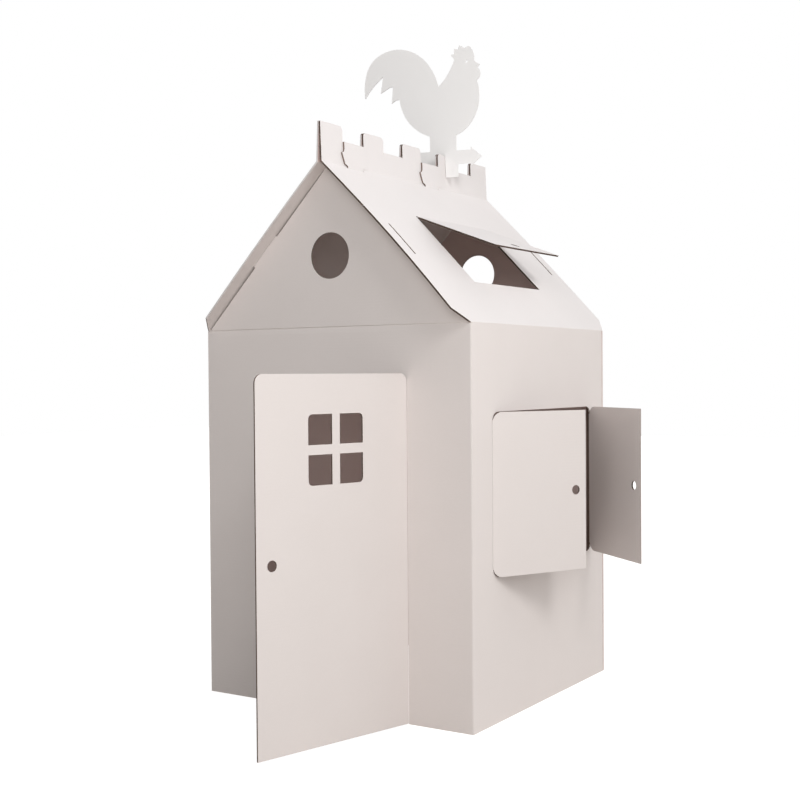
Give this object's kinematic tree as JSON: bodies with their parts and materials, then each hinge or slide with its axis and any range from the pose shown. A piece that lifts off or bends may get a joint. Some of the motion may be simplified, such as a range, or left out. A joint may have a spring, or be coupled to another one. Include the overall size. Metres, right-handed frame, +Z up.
{
  "type": "cardboard playhouse",
  "caption": "Folding corrugated-board playhouse with a pitched roof, notched ridge crest, hinged door, window shutters and skylight flap, and a weathercock figure on the ridge.",
  "frame": {"origin": "middle of the back wall's foot, at mid-thickness, on the floor", "axes": "+X to the right as seen from the front, +Y from front to back, +Z up"},
  "size_m": [0.9557, 1.1473, 1.662],
  "materials": {
    "board": "matte"
  },
  "bodies": {
    "house": {"front_right_sheet": "board", "back_left_sheet": "board", "rooster": "board"},
    "door": {"door": "board"},
    "front_shutter": {"front_shutter": "board"},
    "rear_shutter": {"rear_shutter": "board"},
    "skylight": {"skylight_flap": "board"}
  },
  "joints": [
    {"name": "door_crease", "type": "hinge", "parent": "house", "child": "door", "pos_m": [0.2085, -0.703, 0.395], "axis": [0, 0, 1], "range_deg": [-75, 75]},
    {"name": "front_shutter_crease", "type": "hinge", "parent": "house", "child": "front_shutter", "pos_m": [0.375, -0.6115, 0.516], "axis": [0, 0, -1], "range_deg": [-26.7, 108.3]},
    {"name": "rear_shutter_crease", "type": "hinge", "parent": "house", "child": "rear_shutter", "pos_m": [0.375, -0.0795, 0.516], "axis": [0, 0, 1], "range_deg": [-50.8, 84.2]},
    {"name": "skylight_crease", "type": "hinge", "parent": "house", "child": "skylight", "pos_m": [0.11504, -0.3395, 1.16748], "axis": [0, -1, 0], "range_deg": [-25.2, 94.8]}
  ]
}
